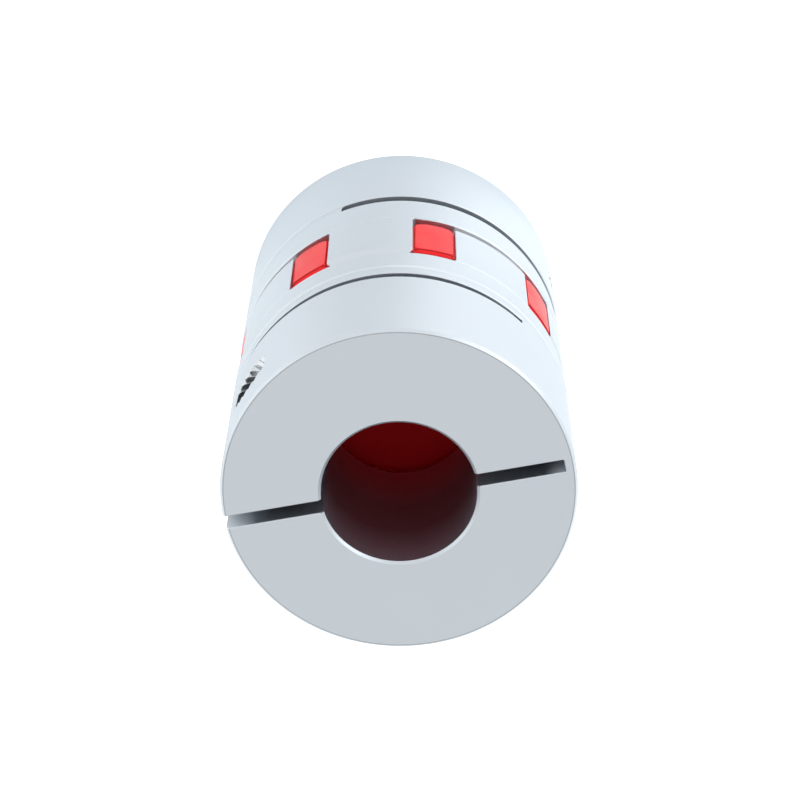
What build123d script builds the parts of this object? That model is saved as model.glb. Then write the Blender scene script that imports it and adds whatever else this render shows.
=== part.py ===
from build123d import *
import math
import os

# Clamping jaw coupling with a soft spider, standing on the end face of its rear hub.
# Origin: centre of that face. The axis of both shafts is +Z. Millimetres.

# Hub, the same turned and milled part at both ends
outer_diameter = 80.0
bore_diameter = 35.0
end_chamfer = 0.6
bore_chamfer = 0.6
face_chamfer = 0.35

# Clamp section, the end of the body that closes on the shaft
clamp_length = 30.2
slot_width = 3.0
hinge_wall = 2.5
slit_width = 2.8
slit_end_inset = 7.1

# Solid ring between the clamp section and the jaws, with a shallow turned groove
ring_length = 14.8
groove_length = 6.8
groove_depth = 0.25
groove_taper = 0.8

# Jaws, and the distance between the two bodies
jaws_per_hub = 4
hub_spacing = 22.8
jaw_length = 20.7
jaw_step = 0.2
jaw_inner_diameter = 41.0
jaw_tip_chamfer = 0.8
jaw_foot_chamfer = 0.8
jaw_inner_chamfer = 0.6
jaw_deburr = 0.3

# Spider: one leg between each two neighbouring jaws, on a closed centre web
spider_thickness = 17.0
spider_setback = 0.7
web_clearance = 1.0
web_recess = 1.0
leg_root_width = 6.8
leg_middle_width = 9.6
leg_tip_width = 10.3
leg_root_overlap = 1.0
leg_flank_clearance = 0.06
leg_corner_chamfer = 1.2
leg_rim_chamfer = 0.5

# Clamp screw, M10 with a hexagon socket head, crossing the slot
screw_inset = 11.0
screw_from_end = 13.9
screw_seat = 5.0
screw_diameter = 10.0
screw_length = 25.0
head_diameter = 16.0
head_height = 10.0
head_chamfer = 1.0
hex_across_flats = 8.0
hex_depth = 5.0
hex_lead_in = 0.4
shank_chamfer = 1.0

# Holes for the clamp screw: head and shank on one side of the slot, thread on the other
counterbore_diameter = 17.5
shank_hole_diameter = 11.0
thread_clearance = 0.2

# Sizes that follow from the ones above
outer_radius = outer_diameter / 2
bore_radius = bore_diameter / 2
body_length = clamp_length + ring_length
overall_length = 2 * body_length + hub_spacing
jaw_outer_radius = outer_radius - jaw_step
jaw_inner_radius = jaw_inner_diameter / 2
jaw_depth = jaw_outer_radius - jaw_inner_radius
jaw_pitch = 360 / jaws_per_hub
leg_pitch = jaw_pitch / 2
rear_hub_turn = 3 * leg_pitch
spider_base = body_length + (hub_spacing - spider_thickness) / 2
spider_outer_radius = outer_radius - spider_setback
web_radius = jaw_inner_radius - web_clearance
leg_inner_radius = web_radius - leg_root_overlap
screw_offset = outer_radius - screw_inset


def body_blank():
    """Turned hub body: bore, chamfers and the shallow groove, with no jaws yet."""
    groove_radius = outer_radius - groove_depth
    groove_end = clamp_length + groove_length
    profile = Polyline(
        (bore_radius, bore_chamfer),
        (bore_radius + bore_chamfer, 0),
        (outer_radius - end_chamfer, 0),
        (outer_radius, end_chamfer),
        (outer_radius, clamp_length),
        (groove_radius, clamp_length),
        (groove_radius, groove_end - groove_taper),
        (outer_radius, groove_end),
        (outer_radius, body_length - face_chamfer),
        (outer_radius - face_chamfer, body_length),
        (bore_radius + bore_chamfer, body_length),
        (bore_radius, body_length - bore_chamfer),
        close=True,
    )
    return revolve(Plane.XZ * make_face(profile), Axis.Z)


def leg_outline(clearance):
    """One spider leg seen along the shafts, lying along +X, with bowed flanks."""
    middle_radius = (leg_inner_radius + outer_radius) / 2
    half_root = leg_root_width / 2 + clearance
    half_middle = leg_middle_width / 2 + clearance
    half_tip = leg_tip_width / 2 + clearance
    left_flank = ThreePointArc(
        (leg_inner_radius, half_root), (middle_radius, half_middle), (outer_radius, half_tip)
    )
    right_flank = ThreePointArc(
        (outer_radius, -half_tip), (middle_radius, -half_middle), (leg_inner_radius, -half_root)
    )
    tip = Line(left_flank @ 1, right_flank @ 0)
    root = Line(right_flank @ 1, left_flank @ 0)
    return make_face(left_flank + tip + right_flank + root)


def distance_from_axis(point):
    """How far a point lies from the shafts' axis."""
    return math.hypot(point.X, point.Y)


def is_flank(edge):
    """True for an edge that runs from the inner side of a jaw or leg to its outer side."""
    run = abs(distance_from_axis(edge @ 1) - distance_from_axis(edge @ 0))
    return run > jaw_depth / 2


def break_end(solid, end, flank_chamfer, rim_chamfer):
    """Chamfer the flanks and the rim of one end of a jaw or leg: 0 is its foot, -1 its tip."""
    face = solid.faces().sort_by(Axis.Z)[end]
    solid = chamfer(face.edges().filter_by(lambda edge: is_flank(edge)), flank_chamfer)
    rim = solid.faces().sort_by(Axis.Z)[end].edges().sort_by(Axis.X)[-1]
    return chamfer(rim, rim_chamfer)


def jaw():
    """One jaw centred on +X, between the pockets of its two legs, from body to tip."""
    half_sector = math.radians(leg_pitch / 2)
    edge_x = outer_diameter * math.cos(half_sector)
    edge_y = outer_diameter * math.sin(half_sector)
    sector = make_face(Polyline((0, 0), (edge_x, -edge_y), (edge_x, edge_y), close=True))
    outline = (Circle(jaw_outer_radius) - Circle(jaw_inner_radius)) & sector
    for side in (-1, 1):
        outline -= Rot(0, 0, side * leg_pitch / 2) * leg_outline(leg_flank_clearance)
    outline = chamfer(outline.vertices().sort_by(Axis.X)[:2], jaw_inner_chamfer)
    outline = chamfer(outline.vertices().sort_by(Axis.X)[-2:], jaw_deburr)
    overlap = face_chamfer + jaw_foot_chamfer
    solid = Pos(0, 0, body_length - overlap) * extrude(outline, jaw_length + overlap)
    return break_end(solid, -1, jaw_tip_chamfer, jaw_deburr)


def hub_with_jaws():
    """Hub body with its ring of jaws, and the bevel that the cutter leaves at their feet."""
    solid = body_blank()
    for index in range(jaws_per_hub):
        solid += Rot(0, 0, (index + 0.5) * jaw_pitch) * jaw()
    feet = solid.edges().filter_by_position(Axis.Z, body_length, body_length)
    return chamfer(feet.filter_by(lambda edge: is_flank(edge)), jaw_foot_chamfer)


def bar(diameter, start, end):
    """Round bar along the clamp screw's axis, from one distance off the slot to another."""
    place = Pos(screw_offset, start, screw_from_end) * Rot(-90, 0, 0)
    return place * Cylinder(diameter / 2, end - start, align=(Align.CENTER, Align.CENTER, Align.MIN))


def clamp_cuts():
    """Everything that is milled, sawn and drilled to turn the hub's end into a clamp."""
    slot_start = hinge_wall - outer_radius
    slot_top = clamp_length + slit_width
    corner = (Align.MIN, Align.CENTER, Align.MIN)
    slot = Pos(slot_start, 0, 0) * Box(outer_diameter, slot_width, slot_top, align=corner)
    slit_corner = (Align.MIN, Align.MIN, Align.MIN)
    slit_place = Pos(slit_end_inset - outer_radius, -slot_width / 2, clamp_length)
    slit = slit_place * Box(outer_diameter, outer_diameter, slit_width, align=slit_corner)
    counterbore = bar(counterbore_diameter, -outer_radius, -screw_seat)
    shank_hole = bar(shank_hole_diameter, -screw_seat, 0)
    thread = bar(screw_diameter + thread_clearance, 0, outer_radius)
    return [slot, slit, counterbore, shank_hole, thread]


def hub():
    """Finished hub in its own frame: end face on z = 0, slot open towards +X, jaws up."""
    solid = hub_with_jaws()
    for cut in clamp_cuts():
        solid -= cut
    return solid


def spider_leg():
    """One leg along +X, with broken corners and a bevelled rim round its outer face."""
    outline = leg_outline(0) & Circle(spider_outer_radius)
    outline = chamfer(outline.vertices().sort_by(Axis.X)[-2:], leg_rim_chamfer)
    solid = Pos(0, 0, spider_base) * extrude(outline, spider_thickness)
    for end in (0, -1):
        solid = break_end(solid, end, leg_corner_chamfer, leg_rim_chamfer)
    return solid


def spider():
    """Soft star between the hubs: eight legs on a closed, slightly recessed web."""
    web_base = spider_base + web_recess
    web_thickness = spider_thickness - 2 * web_recess
    solid = Pos(0, 0, web_base) * extrude(Circle(web_radius), web_thickness)
    for index in range(2 * jaws_per_hub):
        solid += Rot(0, 0, (index + 0.5) * leg_pitch) * spider_leg()
    return solid


def clamp_screw():
    """Socket head screw standing on its shank: the head's seat is on z = 0."""
    head = extrude(Circle(head_diameter / 2), head_height)
    head = chamfer(head.edges().sort_by(Axis.Z)[-1], head_chamfer)
    shank = extrude(Circle(screw_diameter / 2), -screw_length)
    shank = chamfer(shank.edges().sort_by(Axis.Z)[0], shank_chamfer)
    hexagon = RegularPolygon(hex_across_flats / 2, 6, major_radius=False)
    socket = Pos(0, 0, head_height) * extrude(hexagon, -hex_depth)
    mouth_radius = hex_across_flats / 2 + hex_lead_in
    mouth = Pos(0, 0, head_height - hex_lead_in) * Cone(
        mouth_radius, mouth_radius + hex_lead_in, hex_lead_in, align=(Align.CENTER, Align.CENTER, Align.MIN)
    )
    return head + shank - socket - mouth


def main():
    """Place every piece and write one STEP file for each."""
    to_front = Pos(0, 0, overall_length) * Rot(180, 0, 0)
    to_rear = Rot(0, 0, rear_hub_turn)
    screw_place = Pos(screw_offset, -screw_seat, screw_from_end) * Rot(90, 0, 0)
    hub_solid = hub()
    screw_solid = screw_place * clamp_screw()
    pieces = {
        "front_hub": to_front * hub_solid,
        "rear_hub": to_rear * hub_solid,
        "spider": spider(),
        "front_clamp_screw": to_front * screw_solid,
        "rear_clamp_screw": to_rear * screw_solid,
    }
    os.makedirs("parts", exist_ok=True)
    for name, piece in pieces.items():
        export_step(piece, f"parts/{name}.step")


main()
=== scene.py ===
import math
import bpy
from mathutils import Matrix, Vector


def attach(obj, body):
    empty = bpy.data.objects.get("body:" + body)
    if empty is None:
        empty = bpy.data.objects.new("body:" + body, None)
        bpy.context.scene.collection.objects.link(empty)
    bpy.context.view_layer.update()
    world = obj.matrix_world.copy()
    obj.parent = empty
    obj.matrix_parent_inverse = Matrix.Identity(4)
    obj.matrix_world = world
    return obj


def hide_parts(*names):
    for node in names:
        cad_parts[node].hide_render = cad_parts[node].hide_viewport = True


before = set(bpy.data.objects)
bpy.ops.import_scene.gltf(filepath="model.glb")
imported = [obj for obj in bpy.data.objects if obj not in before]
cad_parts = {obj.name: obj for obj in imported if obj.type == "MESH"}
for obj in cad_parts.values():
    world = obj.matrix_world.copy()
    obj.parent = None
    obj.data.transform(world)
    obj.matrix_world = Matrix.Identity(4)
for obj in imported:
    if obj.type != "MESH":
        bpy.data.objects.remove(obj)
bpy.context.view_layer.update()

# Clamping jaw coupling, standing on its rear hub, with the shafts along Z.
# Blender's own lengths are metres; those in the dictionaries are millimetres where no note says otherwise.
mm = 0.001
partHeight = 112.8 * mm
weld = 0.002 * mm  # corners nearer than this become one
hair = 0.001 * mm  # slack when faces and corners are picked by their height
square = 0.9  # a face with this much of an axis in its normal lies square to that axis
print("frame loaded")


# Materials

class Wire:
    # a socket that can be used in plain maths
    def __init__(self, shop, socket):
        self.shop = shop
        self.socket = socket

    def maths(self, operation, first, second):
        return self.shop.add("ShaderNodeMath", {"operation": operation}, {0: first, 1: second})

    def __add__(self, other):
        return self.maths("ADD", self, other)

    __radd__ = __add__

    def __sub__(self, other):
        return self.maths("SUBTRACT", self, other)

    def __rsub__(self, other):
        return self.maths("SUBTRACT", other, self)

    def __mul__(self, other):
        return self.maths("MULTIPLY", self, other)

    __rmul__ = __mul__

    def __pow__(self, other):
        return self.maths("POWER", self, other)

    def __abs__(self):
        return self.shop.add("ShaderNodeMath", {"operation": "ABSOLUTE"}, {0: self})


class Finish:
    # one material: its shader and whatever is wired into it
    def __init__(self, name):
        self.material = bpy.data.materials.new(name)
        self.material.use_nodes = True
        self.tree = self.material.node_tree
        self.tree.nodes.clear()
        self.output = self.tree.nodes.new("ShaderNodeOutputMaterial")

    def add(self, kind, settings=None, sockets=None, output=0):
        node = self.tree.nodes.new(kind)
        for key, value in (settings or {}).items():
            setattr(node, key, value)
        for key, value in (sockets or {}).items():
            if isinstance(value, Wire):
                self.tree.links.new(value.socket, node.inputs[key])
            else:
                node.inputs[key].default_value = value
        return Wire(self, node.outputs[output])

    def coordinates(self):
        return self.add("ShaderNodeTexCoord", output="Object")

    def parts(self, vector):
        node = self.add("ShaderNodeSeparateXYZ", {}, {0: vector}).socket.node
        return [Wire(self, socket) for socket in node.outputs]

    def noise(self, vector, scale, detail):
        return self.add("ShaderNodeTexNoise", {}, {"Vector": vector, "Scale": scale, "Detail": detail})

    def mix(self, factor, first, second):
        return self.add("ShaderNodeMix", {"data_type": "RGBA"}, {0: factor, 6: first, 7: second}, output=2)

    def remap(self, wire, low, high, newLow=0.0, newHigh=1.0):
        return self.add("ShaderNodeMapRange", {}, {0: wire, 1: low, 2: high, 3: newLow, 4: newHigh})

    def within(self, wire, middle, reach):
        return self.add("ShaderNodeMath", {"operation": "COMPARE"}, {0: wire, 1: middle, 2: reach})

    def bump(self, height, distance):
        return self.add("ShaderNodeBump", {}, {"Height": height, "Distance": distance})

    def surface(self, shader):
        self.tree.links.new(shader.socket, self.output.inputs["Surface"])
        return self.material

    def principled(self, **sockets):
        inputs = {key.replace("_", " "): value for key, value in sockets.items()}
        return self.surface(self.add("ShaderNodeBsdfPrincipled", {}, inputs))


def toned(color, share):
    return [value * share for value in color[:3]] + [1]


aluminiumSettings = {
    "edgeTint": (0.84, 0.88, 0.91, 1),
    "grainScale": 2600, "cloudScale": 45, "passScale": 9000, "cloudTone": 0.97,
    "sheenSwing": 0.05, "grainHeight": 0.6, "bumpDepth": 0.002,
    # painted shade: a fine dark ring on the end faces, along the inner edge of the chamfer
    "shadeLineRadius": 39.27, "shadeLineReach": 0.14, "shadeLineDepth": 0.05, "shadeLineTone": 0.68,
    # where the slot's walls turn pale, as radius and as height from the middle of the coupling
    "slotEndRadius": (33.0, 38.0), "slotEndHeight": (26.5, 28.5), "slotEndDull": 0.85,
    # where the bore's painted shade turns to painted light at its mouth and to a painted red reflection of
    # the spider at its inner end
    "mouthLightHeight": (41, 57), "innerReflectionHeight": (30, 12),
}

aluminiumFinishes = {
    # the turned outside, the bore, the tapped holes, the walls of slot and slit, the faces behind the jaws
    "satinAluminium": {"color": (0.65, 0.70, 0.745, 1), "roughness": 0.40},
    # the bore: dark as painted shade, paler at its mouth as painted light, and red at its inner end as a
    # painted reflection of the spider
    "shadedBoreAluminium": {"color": (0.32, 0.26, 0.30, 1), "roughness": 0.37, "metallic": 0.93,
                       "mouthLightColor": (0.60, 0.59, 0.70, 1), "innerRedReflectionColor": (0.62, 0.30, 0.34, 1)},
    "tappedAluminium": {"color": (0.62, 0.65, 0.68, 1), "roughness": 0.26},
    # the sawn walls of slot and slit: a little darker than the outside, as painted shade in the narrow cuts
    "sawnShadedAluminium": {"color": (0.57, 0.61, 0.655, 1), "roughness": 0.42, "slotEnds": True},
    # the faces behind the jaws: a lighter, less metallic copy of the aluminium, as painted light in the gaps
    "gapLitAluminium": {"color": (0.72, 0.74, 0.76, 1), "roughness": 0.5, "metallic": 0.62},
}


def aluminiumMaterial(name, color, roughness, metallic=1.0, mouthLightColor=None, innerRedReflectionColor=None, slotEnds=False):
    # turned and bead-blasted, then anodised: fine grain over faint passes of the tool
    look = aluminiumSettings
    shop = Finish(name)
    spot = shop.coordinates()
    grain = shop.noise(spot, look["grainScale"], detail=4)
    cloud = shop.noise(spot, look["cloudScale"], detail=2)
    x, y, z = shop.parts(spot)
    radius = (x * x + y * y) ** 0.5
    fromMiddle = abs(z - partHeight / 2)

    def ramp(wire, limits):
        return shop.remap(wire, limits[0] * mm, limits[1] * mm)

    passes = shop.add("ShaderNodeTexNoise", {"noise_dimensions": "1D"},
                      {"W": (radius + z) * look["passScale"], "Scale": 1.0, "Detail": 2})
    tone = shop.mix(cloud, toned(color, look["cloudTone"]), color)
    # painted shade: a thin dark ring on both end faces, inside the chamfer
    onShadeLine = shop.within(radius, look["shadeLineRadius"] * mm, look["shadeLineReach"] * mm)
    onEnd = shop.within(fromMiddle, partHeight / 2, look["shadeLineDepth"] * mm)
    tone = shop.mix(onShadeLine * onEnd, tone, toned(color, look["shadeLineTone"]))
    if slotEnds:
        ends = ramp(radius, look["slotEndRadius"]) * ramp(fromMiddle, look["slotEndHeight"])
        metallic = metallic - look["slotEndDull"] * ends
    # painted light towards the bore's mouth, and a painted red reflection of the spider towards its inner end
    if mouthLightColor:
        tone = shop.mix(ramp(fromMiddle, look["mouthLightHeight"]), tone, mouthLightColor)
        tone = shop.mix(ramp(fromMiddle, look["innerReflectionHeight"]), tone, innerRedReflectionColor)
    swing = look["sheenSwing"]
    sheen = shop.remap(grain + cloud, 0.4, 1.6, roughness - swing, roughness + swing)
    normal = shop.bump(grain * look["grainHeight"] + passes, look["bumpDepth"] * mm)
    return shop.principled(Base_Color=tone, Metallic=metallic, Roughness=sheen, Normal=normal,
                           Specular_Tint=look["edgeTint"])


elastomerSettings = {
    "color": (0.86, 0.016, 0.020, 1),
    "shade": (0.79, 0.010, 0.013, 1),
    # painted shade: the dark colour of a thin ring in the crease of the mould's seam step
    "seamShadeColor": (0.22, 0.004, 0.006, 1),
    "seamHeight": 7.93, "seamReach": 0.11,  # the mould's seam, as height from the middle of the coupling
    "cloudScale": 160, "skinScale": 2200, "skinDepth": 0.003,
    "glossy": 0.29, "dull": 0.41,
}


def elastomerMaterial(name, shadeShare, specular):
    look = elastomerSettings
    shop = Finish(name)
    spot = shop.coordinates()
    cloud = shop.noise(spot, look["cloudScale"], detail=3)
    skin = shop.noise(spot, look["skinScale"], detail=2)
    # a share below one darkens the red as painted shade
    color = shop.mix(cloud, toned(look["shade"], shadeShare), toned(look["color"], shadeShare))
    fromMiddle = abs(shop.parts(spot)[2] - partHeight / 2)
    # painted shade along the crease of the mould's seam step
    seam = shop.within(fromMiddle, look["seamHeight"] * mm, look["seamReach"] * mm)
    color = shop.mix(seam, color, look["seamShadeColor"])
    roughness = shop.remap(cloud, 0.3, 0.7, look["glossy"], look["dull"])
    normal = shop.bump(skin, look["skinDepth"] * mm)
    return shop.principled(Base_Color=color, Roughness=roughness, Normal=normal, Specular_IOR_Level=specular)


blackOxide = {
    "color": (0.045, 0.045, 0.05, 1),
    "worn": (0.16, 0.16, 0.17, 1),
    "stainScale": 900, "stainDepth": 0.004,
    "glossy": 0.26, "dull": 0.44,
}


def screwMaterial():
    look = blackOxide
    shop = Finish("blackOxideSteel")
    stain = shop.noise(shop.coordinates(), look["stainScale"], detail=4)
    color = shop.mix(shop.remap(stain, 0.45, 0.75), look["color"], look["worn"])
    roughness = shop.remap(stain, 0.3, 0.7, look["glossy"], look["dull"])
    normal = shop.bump(stain, look["stainDepth"] * mm)
    return shop.principled(Base_Color=color, Metallic=1.0, Roughness=roughness, Normal=normal)


aluminium = {name: aluminiumMaterial(name, **finish) for name, finish in aluminiumFinishes.items()}
padElastomer = elastomerMaterial("redElastomer", 1.0, 0.20)
# the web, seen deep in the bores: the red darkened as painted shade, with little specular
shadedWebElastomer = elastomerMaterial("redElastomerShadedWeb", 0.56, 0.04)
screwSteel = screwMaterial()
print("materials done")


# Modelling helpers

def deselectAll():
    if bpy.context.mode != "OBJECT":
        bpy.ops.object.mode_set(mode="OBJECT")
    bpy.ops.object.select_all(action="DESELECT")


def activate(piece):
    deselectAll()
    piece.select_set(True)
    bpy.context.view_layer.objects.active = piece


def named(piece, name):
    piece.name = piece.data.name = name
    return piece


def settle(piece):
    activate(piece)
    bpy.ops.object.transform_apply(location=True, rotation=True, scale=True)
    return piece


def newPiece(name):
    # names what was just added and puts its place into its mesh
    return settle(named(bpy.context.active_object, name))


def edit(piece):
    activate(piece)
    bpy.ops.object.mode_set(mode="EDIT")
    bpy.ops.mesh.select_mode(type="VERT")
    bpy.ops.mesh.select_all(action="SELECT")


def close(piece):
    # welds doubled corners and turns every face outward
    edit(piece)
    bpy.ops.mesh.remove_doubles(threshold=weld)
    bpy.ops.mesh.normals_make_consistent(inside=False)
    bpy.ops.object.mode_set(mode="OBJECT")
    return piece


def pick(piece, kind, test):
    # selects in edit mode what passes the test: corners by their place, faces by centre and normal
    bpy.ops.mesh.select_all(action="DESELECT")
    bpy.ops.mesh.select_mode(type=kind)
    bpy.ops.object.mode_set(mode="OBJECT")
    if kind == "VERT":
        for vertex in piece.data.vertices:
            vertex.select = test(vertex.co)
    else:
        for face in piece.data.polygons:
            face.select = test(face.center, face.normal)
    bpy.ops.object.mode_set(mode="EDIT")


def cutAcross(point, normal):
    # cuts what is selected along a plane and keeps both sides
    bpy.ops.mesh.bisect(plane_co=point, plane_no=normal)


def grow(x=1.0, y=1.0, z=1.0, height=0.0):
    # scales what is selected about a point on the axis
    bpy.ops.transform.resize(value=(x, y, z), center_override=(0, 0, height))


def runModifier(piece, kind, **settings):
    activate(piece)
    modifier = piece.modifiers.new(kind.title(), kind)
    for key, value in settings.items():
        setattr(modifier, key, value)
    bpy.ops.object.modifier_apply(modifier=modifier.name)


def combine(piece, tool, operation="DIFFERENCE"):
    runModifier(piece, "BOOLEAN", object=tool, operation=operation, solver="EXACT")
    bpy.data.objects.remove(tool)


def inOrder(piece):
    # numbers corners and faces by their place, because a boolean numbers them differently each run
    activate(piece)
    mesh = piece.data
    places = [tuple(vertex.co) for vertex in mesh.vertices]
    order = sorted(range(len(places)), key=lambda index: places[index])
    number = {old: new for new, old in enumerate(order)}
    faces = []
    for face in mesh.polygons:
        ring = [number[index] for index in face.vertices]
        start = ring.index(min(ring))
        faces.append(ring[start:] + ring[:start])
    mesh.clear_geometry()
    mesh.from_pydata([places[index] for index in order], [], sorted(faces))
    return piece


def copyOf(piece, name):
    # a copy with a mesh of its own
    twin = piece.copy()
    twin.data = piece.data.copy()
    bpy.context.scene.collection.objects.link(twin)
    return named(twin, name)


def join(pieces):
    activate(pieces[0])
    for piece in pieces:
        piece.select_set(True)
    bpy.ops.object.join()
    return pieces[0]


def place(piece, turnX=0.0, turnZ=0.0, shift=(0, 0, 0)):
    # turns and shifts the mesh itself, so that the object stays at the origin
    spin = Matrix.Rotation(math.radians(turnZ), 4, "Z") @ Matrix.Rotation(math.radians(turnX), 4, "X")
    piece.matrix_world = Matrix.Translation(Vector(shift) * mm) @ spin
    return settle(piece)


def block(name, low, high):
    deselectAll()
    bpy.ops.mesh.primitive_cube_add(size=1, location=[(a + b) / 2 * mm for a, b in zip(low, high)])
    bpy.context.active_object.scale = [(b - a) * mm for a, b in zip(low, high)]
    return newPiece(name)


def turned(name, profile, steps, solid=False):
    # lathe work: profile of (radius, height), closed round a bore or ending in flat caps
    radius, height = profile[0]
    deselectAll()
    bpy.ops.mesh.primitive_circle_add(vertices=steps, radius=radius * mm, location=(0, 0, height * mm),
                                      fill_type="NGON" if solid else "NOTHING")
    piece = newPiece(name)
    edit(piece)
    for newRadius, newHeight in profile[1:] + ([] if solid else profile[:1]):
        rise = {"value": (0, 0, (newHeight - height) * mm)}
        if solid:
            bpy.ops.mesh.extrude_region_move(TRANSFORM_OT_translate=rise)
        else:
            bpy.ops.mesh.extrude_edges_move(TRANSFORM_OT_translate=rise)
        grow(newRadius / radius, newRadius / radius, height=newHeight * mm)
        radius, height = newRadius, newHeight
    return close(piece)


def soften(piece, width, sharper=60):
    # breaks the sharp edges
    runModifier(piece, "BEVEL", width=width * mm, segments=1, limit_method="ANGLE",
                angle_limit=math.radians(sharper), use_clamp_overlap=False, miter_outer="MITER_ARC")
    close(piece)


def smooth(piece, angle):
    # shades gentle edges smooth and leaves flat faces flat
    activate(piece)
    bpy.ops.object.shade_smooth_by_angle(angle=math.radians(angle))
    runModifier(piece, "WEIGHTED_NORMAL", keep_sharp=True, weight=70)


def paintFaces(piece, material, test):
    # gives the faces that pass the test a material of their own
    piece.data.materials.append(material)
    edit(piece)
    pick(piece, "FACE", test)
    piece.active_material_index = len(piece.data.materials) - 1
    bpy.ops.object.material_slot_assign()
    bpy.ops.object.mode_set(mode="OBJECT")


def dressed(piece, node):
    # hands the finished piece to the frame in place of its CAD node
    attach(piece, "root")
    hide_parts(node)


# Hub

hubSize = {
    "radius": 39.998, "bore": 17.5, "edge": 0.6, "faceEdge": 0.35, "length": 45.0, "steps": 256,
    "clamp": 30.2, "slot": 3.0, "hinge": 2.5, "slit": 2.8, "slitInset": 7.1, "cutPast": 5,
    "grooveDepth": 0.25, "grooveLength": 6.8, "grooveTaper": 0.8,
    "jaws": 4, "jawOuter": 39.95, "jawInner": 20.5, "jawLength": 20.7, "jawRim": 0.3, "jawTipBevel": 1.0,
    "screwOffset": 29.0, "screwHeight": 13.9, "screwSeat": 5.0, "counterbore": 8.75, "clearance": 5.5,
    "seatOverlap": 1, "slotOverlap": 0.5, "brokenEdge": 0.18, "smoothAngle": 12, "rearTurn": 135,
    "jawReach": 14.8,  # half the angle that the end of a jaw covers
}

# half widths of the pocket that two jaws leave for a leg, which is narrower by the clearance
pocketSize = {
    "inner": 18.5, "root": 3.46, "middle": 4.86, "tip": 5.21, "clearance": 0.06, "pitch": 45.0,
    "from": 17.0, "step": 2.1, "steps": 12, "past": 48.0, "bevel": 0.8, "flankTurn": 0.08, "above": 1.0,
}


def pocketHalfWidth(radius):
    # bowed flank: a parabola through the half widths at the root, the middle and the tip
    size = pocketSize
    inner, outer = size["inner"], hubSize["radius"]
    radius = min(radius, outer)
    points = ((inner, size["root"]), ((inner + outer) / 2, size["middle"]), (outer, size["tip"]))
    width = 0.0
    for index, (base, value) in enumerate(points):
        for other, (point, _) in enumerate(points):
            if other != index:
                value *= (radius - point) / (base - point)
        width += value
    return width


def legHalfWidth(radius):
    return pocketHalfWidth(radius) - pocketSize["clearance"]


def gapOutline():
    # one flank of the cutter between two jaws, outward, as points in its own frame
    size = pocketSize
    half = math.radians(size["pitch"] / 2)
    points = []
    for radius in [size["from"] + size["step"] * step for step in range(size["steps"])] + [size["past"]]:
        width = pocketHalfWidth(radius)
        points.append((radius * math.cos(half) - width * math.sin(half),
                       radius * math.sin(half) + width * math.cos(half)))
    return points


def gapTool():
    # what the cutter takes away between two jaws: flared at the foot, wider at the tip
    size = pocketSize
    points = gapOutline()
    foot = hubSize["length"]
    tip = foot + hubSize["jawLength"]
    bevel, above = size["bevel"], size["above"]
    (x0, y0), (x1, y1) = points[:2]
    middle = (x0 + x1) / 2 * mm
    deselectAll()
    bpy.ops.mesh.primitive_plane_add(size=1, location=(middle, 0, foot * mm))
    bpy.context.active_object.scale = ((x1 - x0) * mm, 2 * y0 * mm, 1)
    piece = newPiece("gapTool")
    edit(piece)
    pick(piece, "VERT", lambda corner: corner.x > middle)
    grow(y=y1 / y0, height=foot * mm)
    for (x0, y0), (x1, y1) in zip(points[1:], points[2:]):
        bpy.ops.mesh.extrude_edges_move(TRANSFORM_OT_translate={"value": ((x1 - x0) * mm, 0, 0)})
        grow(y=y1 / y0, height=foot * mm)
    flankAngle = math.radians(size["pitch"] / 2) + size["flankTurn"]
    flank = Vector((-math.sin(flankAngle), math.cos(flankAngle), 0)) * mm
    height = foot
    layers = ((foot, -bevel), (foot + bevel, bevel), (tip - bevel, 0.0), (tip + above, bevel + above))
    for newHeight, widening in layers:
        if newHeight > height:
            top = height * mm - hair
            pick(piece, "FACE", lambda centre, normal: centre.z > top and abs(normal.z) > square)
            rise = {"value": (0, 0, (newHeight - height) * mm)}
            bpy.ops.mesh.extrude_region_move(TRANSFORM_OT_translate=rise)
        height = newHeight
        level = height * mm - hair
        for side in (1, -1):
            pick(piece, "VERT", lambda corner: corner.z > level and corner.y * side > 0)
            bpy.ops.transform.translate(value=(flank.x * widening, flank.y * widening * side, 0))
    return close(piece)


def slotTool():
    # the slot along the shaft, and the slit that frees one half of the clamp
    size = hubSize
    radius, half, clamp = size["radius"], size["slot"] / 2, size["clamp"] * mm
    reach = radius + size["cutPast"]
    low = (size["hinge"] - radius, -half, -size["cutPast"])
    piece = block("slotTool", low, (reach, half, size["clamp"] + size["slit"]))
    start = (size["slitInset"] - radius) * mm
    edit(piece)
    cutAcross((0, 0, clamp), (0, 0, 1))
    bpy.ops.mesh.select_all(action="SELECT")
    cutAcross((start, 0, 0), (1, 0, 0))
    pick(piece, "FACE", lambda centre, normal: normal.y > square and centre.x > start and centre.z > clamp)
    bpy.ops.mesh.extrude_region_move(TRANSFORM_OT_translate={"value": (0, (reach - half) * mm, 0)})
    return close(piece)


def crossRod(name, radius, start, end, steps=64):
    # round tool along the clamp screw's axis
    size = hubSize
    deselectAll()
    bpy.ops.mesh.primitive_cylinder_add(
        vertices=steps, radius=radius * mm, depth=(end - start) * mm, rotation=(math.pi / 2, 0, 0),
        location=(size["screwOffset"] * mm, (start + end) / 2 * mm, size["screwHeight"] * mm))
    return newPiece(name)


threadSize = {
    "pitch": 1.5, "crest": 4.95, "root": 4.1, "clearance": 0.14, "steps": 40,
    "tapStart": -43.5, "tapTurns": 26, "screwStart": -28.5, "screwTurns": 20,
}


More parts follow.
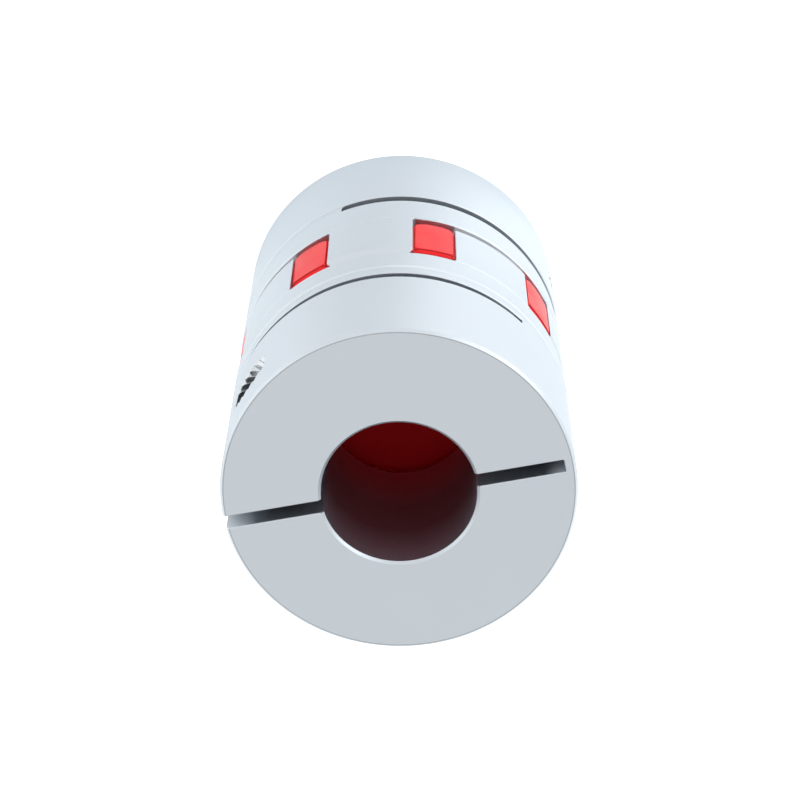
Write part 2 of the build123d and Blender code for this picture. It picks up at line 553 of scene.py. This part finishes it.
def threadTool(name, growth, start, turns):
    # helical ridge in the screw's own frame, longer at both ends than what it is used on
    size = threadSize
    pitch, steps = size["pitch"], size["steps"]
    root, crest = size["root"] + growth, size["crest"] + growth
    # radius, and height as a share of the pitch
    ridge = ((root, 0.06), (crest, 0.44), (crest, 0.56), (root, 0.94), (root, 1.0))
    deselectAll()
    bpy.ops.mesh.primitive_plane_add(size=mm, location=(root * mm, 0, start * mm))
    piece = newPiece(name)
    edit(piece)
    bpy.ops.mesh.merge(type="CENTER")
    radius, height = root, 0.0
    for newRadius, newHeight in ridge:
        step = ((newRadius - radius) * mm, 0, (newHeight - height) * pitch * mm)
        bpy.ops.mesh.extrude_vertices_move(TRANSFORM_OT_translate={"value": step})
        radius, height = newRadius, newHeight
    bpy.ops.object.mode_set(mode="OBJECT")
    runModifier(piece, "SCREW", axis="Z", angle=2 * math.pi, screw_offset=pitch * mm, iterations=turns,
                steps=steps, render_steps=steps, use_merge_vertices=True, merge_threshold=weld)
    edit(piece)
    bpy.ops.mesh.remove_doubles(threshold=weld)
    bpy.ops.mesh.fill_holes(sides=0)
    return close(piece)


def toScrewAxis(piece):
    size = hubSize
    return place(piece, turnX=90, shift=(size["screwOffset"], -size["screwSeat"], size["screwHeight"]))


def hubProfile():
    # radius and height of each corner: end face, outside with its groove, jaws and back to the bore
    size = hubSize
    radius, bore, edge, length = size["radius"], size["bore"], size["edge"], size["length"]
    clamp, depth, faceEdge = size["clamp"], size["grooveDepth"], size["faceEdge"]
    grooveEnd = clamp + size["grooveLength"]
    jawOuter, jawInner, rim, bevel = size["jawOuter"], size["jawInner"], size["jawRim"], size["jawTipBevel"]
    tip = length + size["jawLength"]
    return [
        (bore, edge), (bore + edge, 0), (radius - edge, 0), (radius, edge),
        (radius, clamp - depth), (radius - depth, clamp),
        (radius - depth, grooveEnd - size["grooveTaper"]), (radius, grooveEnd),
        (radius, length - faceEdge), (radius - faceEdge, length),
        (jawOuter, length + jawOuter - (radius - faceEdge)), (jawOuter, tip - bevel), (jawOuter - bevel, tip),
        (jawInner + rim, tip), (jawInner, tip - rim), (jawInner, length),
        (bore + edge, length), (bore, length - edge),
    ]


def makeHub():
    # stands on its end face with the jaws up and the slot open towards +X
    size = hubSize
    hub = turned("hub", hubProfile(), size["steps"])
    tool = gapTool()
    pitch = 360 / size["jaws"]
    tools = [place(copyOf(tool, "gapTool"), turnZ=pitch * index) for index in range(size["jaws"])]
    bpy.data.objects.remove(tool)
    for tool in tools:
        combine(hub, tool)
    combine(hub, slotTool())
    seat = -size["screwSeat"]
    combine(hub, crossRod("counterbore", size["counterbore"], -size["radius"] - size["cutPast"], seat, 96))
    start, end = seat - size["seatOverlap"], size["slotOverlap"]
    combine(hub, crossRod("clearanceHole", size["clearance"], start, end))
    thread = threadSize
    combine(hub, toScrewAxis(threadTool("tap", thread["clearance"], thread["tapStart"], thread["tapTurns"])))
    close(inOrder(hub))
    print("hub", len(hub.data.polygons), "faces")
    return hub


# how far from its true surface the centre of a face may lie and still take that surface's finish
paintSlack = {"bore": 0.25, "thread": 0.30, "outside": 0.05, "flat": 0.02, "gap": 0.1}


def fromAxis(centre):
    return math.hypot(centre.x, centre.y) / mm


def nearLevel(value, level, slack):
    return abs(value / mm - level) < paintSlack[slack]


def inBore(centre, normal):
    return fromAxis(centre) < hubSize["bore"] + paintSlack["bore"] and abs(normal.z) < 0.5


def inThread(centre, normal):
    size = hubSize
    across = math.hypot(centre.x / mm - size["screwOffset"], centre.z / mm - size["screwHeight"])
    holeRadius = threadSize["crest"] + paintSlack["thread"]
    inside = fromAxis(centre) <= size["radius"] - paintSlack["outside"]
    return across < holeRadius and centre.y / mm > size["slot"] / 2 and inside


def inSlot(centre, normal):
    # the walls of the slot and of the slit
    size = hubSize
    slot = abs(normal.y) > square and nearLevel(abs(centre.y), size["slot"] / 2, "flat")
    slitWalls = (size["clamp"], size["clamp"] + size["slit"])
    return slot or abs(normal.z) > square and any(nearLevel(centre.z, wall, "flat") for wall in slitWalls)


def inGap(centre, normal):
    # the flat face of the body between the jaws
    size = hubSize
    outside = fromAxis(centre) > size["bore"] + size["edge"]
    return normal.z > square and outside and nearLevel(centre.z, size["length"], "gap")


def behindJaws(centre, normal):
    # the part of that face that the other hub's jaws end at
    pitch = 360 / hubSize["jaws"]
    angle = math.degrees(math.atan2(centre.y, centre.x)) % pitch
    return inGap(centre, normal) and min(angle, pitch - angle) < hubSize["jawReach"]


def splitGap(hub):
    # cuts that face along the flanks of the other hub's jaws, so that the part behind them can be painted
    reach = hubSize["jawReach"]
    edit(hub)
    for angle in (-reach, reach):
        for quarter in (0, 90):
            pick(hub, "FACE", inGap)
            side = math.radians(angle + quarter + 90)
            cutAcross((0, 0, 0), (math.cos(side), math.sin(side), 0))
    bpy.ops.object.mode_set(mode="OBJECT")


def placePair(piece, name):
    # the front copy stands on its head, the rear one is turned by three leg pitches
    rear = place(copyOf(piece, "rear" + name), turnZ=hubSize["rearTurn"])
    front = place(named(piece, "front" + name), turnX=180, shift=(0, 0, partHeight / mm))
    return front, rear


hub = makeHub()
soften(hub, hubSize["brokenEdge"])
smooth(hub, hubSize["smoothAngle"])
hub.data.materials.append(aluminium["satinAluminium"])
# the bore takes the copy of the aluminium that carries painted shade, painted light and a painted red
# reflection
paintFaces(hub, aluminium["shadedBoreAluminium"], inBore)
paintFaces(hub, aluminium["tappedAluminium"], inThread)
# painted shade: the walls of slot and slit take the slightly darker copy of the aluminium
paintFaces(hub, aluminium["sawnShadedAluminium"], inSlot)
splitGap(hub)
# painted light: the faces behind the jaws take the lighter, duller copy of the aluminium
paintFaces(hub, aluminium["gapLitAluminium"], behindJaws)
frontHub, rearHub = placePair(hub, "Hub")
dressed(frontHub, "front_hub")
dressed(rearHub, "rear_hub")
print("hubs done")


# Spider

spiderSize = {
    "base": 47.1, "thickness": 17.9, "outer": 39.75, "legs": 8, "steps": 12, "rim": 0.8,
    "rearCorner": 2.2, "frontCorner": 0.9, "cornerSteps": 6,
    "stepTop": 0.10, "stepFoot": 0.22, "stepWidth": 0.14,  # fine step where the mould closes
    "ledges": (0.48, 0.52, 0.53, 0.58),  # insets of the end of a leg at its flanks, outward
    "columns": (0.8, 2.1, 3.4),  # cuts along a leg, which let its end follow the turned diameter
    "cornerSlack": 0.01, "endSlack": 0.05, "rowSlack": 0.0006,
    "web": 20.2, "webLow": 48.9, "webHigh": 63.9, "webEdge": 0.4, "webSteps": 128, "webShadeReach": 20.6,
    "smoothAngle": 40,
}


def legSection(level):
    # upright cross section of a leg at its root, with rounded corners
    size = spiderSize
    height, inner = size["thickness"], pocketSize["inner"]
    deselectAll()
    bpy.ops.mesh.primitive_plane_add(size=1, rotation=(0, math.pi / 2, 0), location=(inner * mm, 0, level))
    bpy.context.active_object.scale = (height * mm, 2 * legHalfWidth(inner) * mm, 1)
    leg = newPiece("leg")
    edit(leg)
    for side, corner in ((-1, size["rearCorner"]), (1, size["frontCorner"])):
        end = level + side * height / 2 * mm
        pick(leg, "VERT", lambda vertex: abs(vertex.z - end) < size["cornerSlack"] * mm)
        bpy.ops.mesh.bevel(offset=corner * mm, segments=size["cornerSteps"], affect="VERTICES")
    bpy.ops.mesh.select_all(action="SELECT")
    bpy.ops.mesh.select_mode(type="VERT")
    return leg


def drawOutward(distance, widthRatio, heightRatio, level):
    bpy.ops.mesh.extrude_region_move(TRANSFORM_OT_translate={"value": (distance * mm, 0, 0)})
    grow(y=widthRatio, z=heightRatio, height=level)


def roundLegEnd(leg):
    # draws the flat end of a leg back onto the turned diameter
    size = spiderSize
    outer = size["outer"]
    for side in (-1, 1):
        for column in size["columns"]:
            bpy.ops.mesh.select_all(action="SELECT")
            cutAcross((0, side * column * mm, 0), (0, 1, 0))
    bpy.ops.object.mode_set(mode="OBJECT")
    limit = (outer - size["rim"] - size["endSlack"]) * mm
    slack = size["rowSlack"]
    onEnd = [corner.co for corner in leg.data.vertices if corner.co.x > limit]
    levels = sorted({round(abs(corner.y) / mm, 3) for corner in onEnd})
    edit(leg)
    for y in levels:
        pick(leg, "VERT", lambda corner: corner.x > limit and abs(abs(corner.y) / mm - y) < slack)
        back = outer - math.sqrt(outer ** 2 - y ** 2)
        bpy.ops.transform.translate(value=(-back * mm, 0, 0))


def makeLeg():
    # a rounded cross section drawn outward, station by station, between its bowed flanks
    size = spiderSize
    height, outer, rim, steps = size["thickness"], size["outer"], size["rim"], size["steps"]
    inner = pocketSize["inner"]
    level = (size["base"] + height / 2) * mm
    leg = legSection(level)
    width = legHalfWidth(inner)
    reach = (outer - rim - inner) / steps
    for step in range(1, steps + 1):
        newWidth = legHalfWidth(inner + reach * step)
        drawOutward(reach, newWidth / width, 1, level)
        width = newWidth
    # chamfered outer face with the fine step round it
    top, foot = size["stepTop"], size["stepFoot"]
    depths = (rim, top, foot, 0.0)
    insets = (0.0, rim - top, rim, rim + size["stepWidth"])
    depth, inset = rim, 0.0
    for newDepth, newInset, ledge in zip(depths, insets, size["ledges"]):
        newWidth = legHalfWidth(outer) - ledge
        taller = (height - 2 * newInset) / (height - 2 * inset)
        drawOutward(depth - newDepth, newWidth / width, taller, level)
        width, depth, inset = newWidth, newDepth, newInset
    roundLegEnd(leg)
    return close(leg)


def makeSpider():
    size = spiderSize
    leg = makeLeg()
    pitch = 360 / size["legs"]
    legs = [place(copyOf(leg, "leg"), turnZ=pitch * (index + 0.5)) for index in range(size["legs"])]
    bpy.data.objects.remove(leg)
    low, high, web, edge = size["webLow"], size["webHigh"], size["web"], size["webEdge"]
    profile = [(web - edge, low), (web, low + edge), (web, high - edge), (web - edge, high)]
    spider = turned("spider", profile, size["webSteps"], solid=True)
    combine(spider, join(legs), "UNION")
    return close(inOrder(spider))


spider = makeSpider()
smooth(spider, spiderSize["smoothAngle"])
spider.data.materials.append(padElastomer)
# painted shade: the web in the middle takes the darkened copy of the red
paintFaces(spider, shadedWebElastomer, lambda centre, normal: fromAxis(centre) < spiderSize["webShadeReach"])
dressed(spider, "spider")
print("spider done")


# Clamp screws

screwSize = {
    "head": 8.0, "headHeight": 10.0, "headEdge": 1.0, "seatEdge": 0.3, "steps": 64,
    "knurls": 60, "knurlDepth": 0.16, "knurlLow": 0.9, "knurlHigh": 8.3, "knurlSlack": 0.1,
    "shank": 5.0, "length": 25.0, "tipEdge": 1.0, "intoHead": 0.5,
    "hexWidth": 8.0, "hexDepth": 5.0, "hexMouth": 0.4, "mouthAbove": 1, "smoothAngle": 25,
}


def makeHead():
    size = screwSize
    head, top, edge, seatEdge = size["head"], size["headHeight"], size["headEdge"], size["seatEdge"]
    low, high, knurls, slack = size["knurlLow"], size["knurlHigh"], size["knurls"], size["knurlSlack"]
    profile = [(head - seatEdge, 0), (head, seatEdge), (head, low), (head, high),
               (head, top - edge), (head - edge, top)]
    screw = turned("screw", profile, 2 * knurls, solid=True)
    edit(screw)
    step = math.pi / knurls
    pick(screw, "VERT", lambda corner: low - slack < corner.z / mm < high + slack
         and round(math.atan2(corner.y, corner.x) / step) % 2 == 1)
    ratio = 1 - size["knurlDepth"] / head
    grow(ratio, ratio)
    bpy.ops.object.mode_set(mode="OBJECT")
    return screw


def socketTool():
    size = screwSize
    deselectAll()
    bpy.ops.mesh.primitive_cylinder_add(
        vertices=6, radius=size["hexWidth"] / 2 / math.cos(math.pi / 6) * mm, depth=2 * size["hexDepth"] * mm,
        location=(0, 0, size["headHeight"] * mm))
    return newPiece("socket")


def makeScrew():
    # stands on its shank with the head's seat at height 0
    size, thread = screwSize, threadSize
    top, mouth, steps = size["headHeight"], size["hexMouth"], size["steps"]
    length, tipEdge = size["length"], size["tipEdge"]
    screw = makeHead()
    combine(screw, socketTool())
    mouthRadius = size["hexWidth"] / 2 + mouth
    above = size["mouthAbove"]
    mouthProfile = [(mouthRadius, top - mouth), (mouthRadius + above, top - mouth + above)]
    combine(screw, turned("mouth", mouthProfile, steps, solid=True))
    shankProfile = [(size["shank"] - tipEdge, -length), (size["shank"], tipEdge - length),
                    (size["shank"], size["intoHead"])]
    shank = turned("shank", shankProfile, steps, solid=True)
    combine(shank, threadTool("thread", 0.0, thread["screwStart"], thread["screwTurns"]), "INTERSECT")
    combine(screw, shank, "UNION")
    return close(inOrder(screw))


screw = toScrewAxis(makeScrew())
smooth(screw, screwSize["smoothAngle"])
screw.data.materials.append(screwSteel)
frontScrew, rearScrew = placePair(screw, "ClampScrew")
dressed(frontScrew, "front_clamp_screw")
dressed(rearScrew, "rear_clamp_screw")
print("screws done")


# Stage, lamps and camera

floorSettings = {
    "size": 6.0,  # metres
    # painted light: the floor's grey is lighter towards both sides, most to the right
    "grey": 0.78, "leftPaintedLight": 0.06, "rightPaintedLight": 0.18, "paintedLightFade": (5, 45),
    "cameraLift": 0.62,
    # painted light, a glow of the floor that only the metal mirrors: in the middle, far out to the sides and
    # near the foot
    "midLift": 0.125, "farLift": 0.40, "farFade": (100, 140),
    "nearLift": 0.15, "nearLeftLift": 0.08, "nearRightLift": 0.19, "sideFade": (10, 40), "nearFade": (80, 55),
}


def makeFloor():
    # white to the camera, and nearly so in what the metal mirrors, with the object's shadow on it; its grey
    # and its glow in reflections are painted light, lighter to the sides, most to the right, and near the
    # foot
    look = floorSettings
    deselectAll()
    bpy.ops.mesh.primitive_plane_add(size=look["size"])
    floor = newPiece("floor")
    shop = Finish("floorWhite")
    x, y, z = shop.parts(shop.coordinates())

    def fade(wire, limits, low, high, side=1):
        return shop.remap(wire, side * limits[0] * mm, side * limits[1] * mm, low, high)

    toLeft = fade(x, look["paintedLightFade"], 0.0, look["leftPaintedLight"])
    toRight = fade(x, look["paintedLightFade"], 0.0, look["rightPaintedLight"], -1)
    grey = toLeft + toRight + look["grey"]
    # painted light seen only in reflections: a brighter glow near the foot, most to the right
    nearLeft = fade(x, look["sideFade"], 0.0, look["nearLeftLift"])
    nearRight = fade(x, look["sideFade"], 0.0, look["nearRightLift"], -1)
    nearFoot = fade((x * x + y * y) ** 0.5, look["nearFade"], 0.0, 1.0)
    near = nearFoot * (nearLeft + nearRight + look["nearLift"])
    far = fade(abs(x), look["farFade"], look["midLift"], look["farLift"])
    path = shop.add("ShaderNodeLightPath").socket.node
    rayNames = ("Is Camera Ray", "Is Glossy Ray", "Is Transmission Ray")
    camera, glossy, through = [Wire(shop, path.outputs[name]) for name in rayNames]
    lift = camera * look["cameraLift"] + (glossy + through) * (near + far)
    paint = shop.add("ShaderNodeBsdfDiffuse", {}, {"Color": grey})
    glow = shop.add("ShaderNodeEmission", {}, {"Color": (1, 1, 1, 1), "Strength": lift})
    floor.data.materials.append(shop.surface(shop.add("ShaderNodeAddShader", {}, {0: paint, 1: glow})))


cardSettings = {
    # middle in metres, turn, width and height in metres, colour, strength
    "overhead": {"at": (0.1, 0.5, 1.3), "turn": (0, 0, 0), "size": (2.4, 2.4),
                 "color": (1.0, 1.0, 1.0, 1), "strength": 0.86},
    "left": {"at": (1.0, -0.7, 0.47), "turn": (90, 0, 90), "size": (1.2, 0.9),
             "color": (0.97, 1.0, 0.98, 1), "strength": 1.3},
    "right": {"at": (-1.0, -0.7, 0.47), "turn": (90, 0, 90), "size": (1.2, 0.9),
              "color": (0.97, 0.985, 1.0, 1), "strength": 1.9},
}


def makeCards():
    # plain cards round the object that only the metal and the lighting see
    for name, look in cardSettings.items():
        deselectAll()
        turn = [math.radians(angle) for angle in look["turn"]]
        bpy.ops.mesh.primitive_plane_add(size=1, location=look["at"], rotation=turn)
        bpy.context.active_object.scale = (*look["size"], 1)
        card = newPiece(name + "Card")
        shop = Finish(name + "Card")
        glow = shop.add("ShaderNodeEmission", {}, {"Color": look["color"], "Strength": look["strength"]})
        card.data.materials.append(shop.surface(glow))
        card.visible_camera = False


worldSettings = {"color": (1.0, 1.0, 1.0, 1), "strength": 1.0}


def makeWorld():
    world = bpy.data.worlds.new("studio")
    bpy.context.scene.world = world
    world.use_nodes = True
    tree = world.node_tree
    tree.nodes.clear()
    output = tree.nodes.new("ShaderNodeOutputWorld")
    background = tree.nodes.new("ShaderNodeBackground")
    background.inputs["Color"].default_value = worldSettings["color"]
    background.inputs["Strength"].default_value = worldSettings["strength"]
    tree.links.new(background.outputs[0], output.inputs["Surface"])


cameraSettings = {
    "location": (-49.343, -236.075, 571.838),
    "turn": (-25.40005, 0.43728, 169.0825),
    "lens": 104.5785,
    "sensor": 36.0,
    "nearest": 10,
}


def makeCamera():
    data = bpy.data.cameras.new("camera")
    data.lens = cameraSettings["lens"]
    data.sensor_width = cameraSettings["sensor"]
    data.clip_start = cameraSettings["nearest"] * mm
    camera = bpy.data.objects.new("camera", data)
    bpy.context.scene.collection.objects.link(camera)
    camera.location = [value * mm for value in cameraSettings["location"]]
    camera.rotation_euler = [math.radians(angle) for angle in cameraSettings["turn"]]
    bpy.context.scene.camera = camera


lampSettings = {
    "back": {"from": (-0.17, 0.985, 0.65), "strength": 1.4, "spread": 20},
    "front": {"from": (-0.65, -0.8, 1.0), "strength": 0.66, "spread": 40},
}


def makeLamps():
    # soft suns that fill the matt surfaces and the floor, and leave no highlight on the metal
    for name, look in lampSettings.items():
        deselectAll()
        bpy.ops.object.light_add(type="SUN")
        lamp = bpy.context.active_object
        lamp.name = name + "Lamp"
        lamp.rotation_euler = Vector(look["from"]).to_track_quat("Z", "Y").to_euler()
        lamp.data.energy = look["strength"]
        lamp.data.angle = math.radians(look["spread"])
        lamp.visible_glossy = False


makeFloor()
makeWorld()
makeCards()
makeLamps()
makeCamera()
bpy.context.scene.view_settings.view_transform = "Standard"
print("stage done")
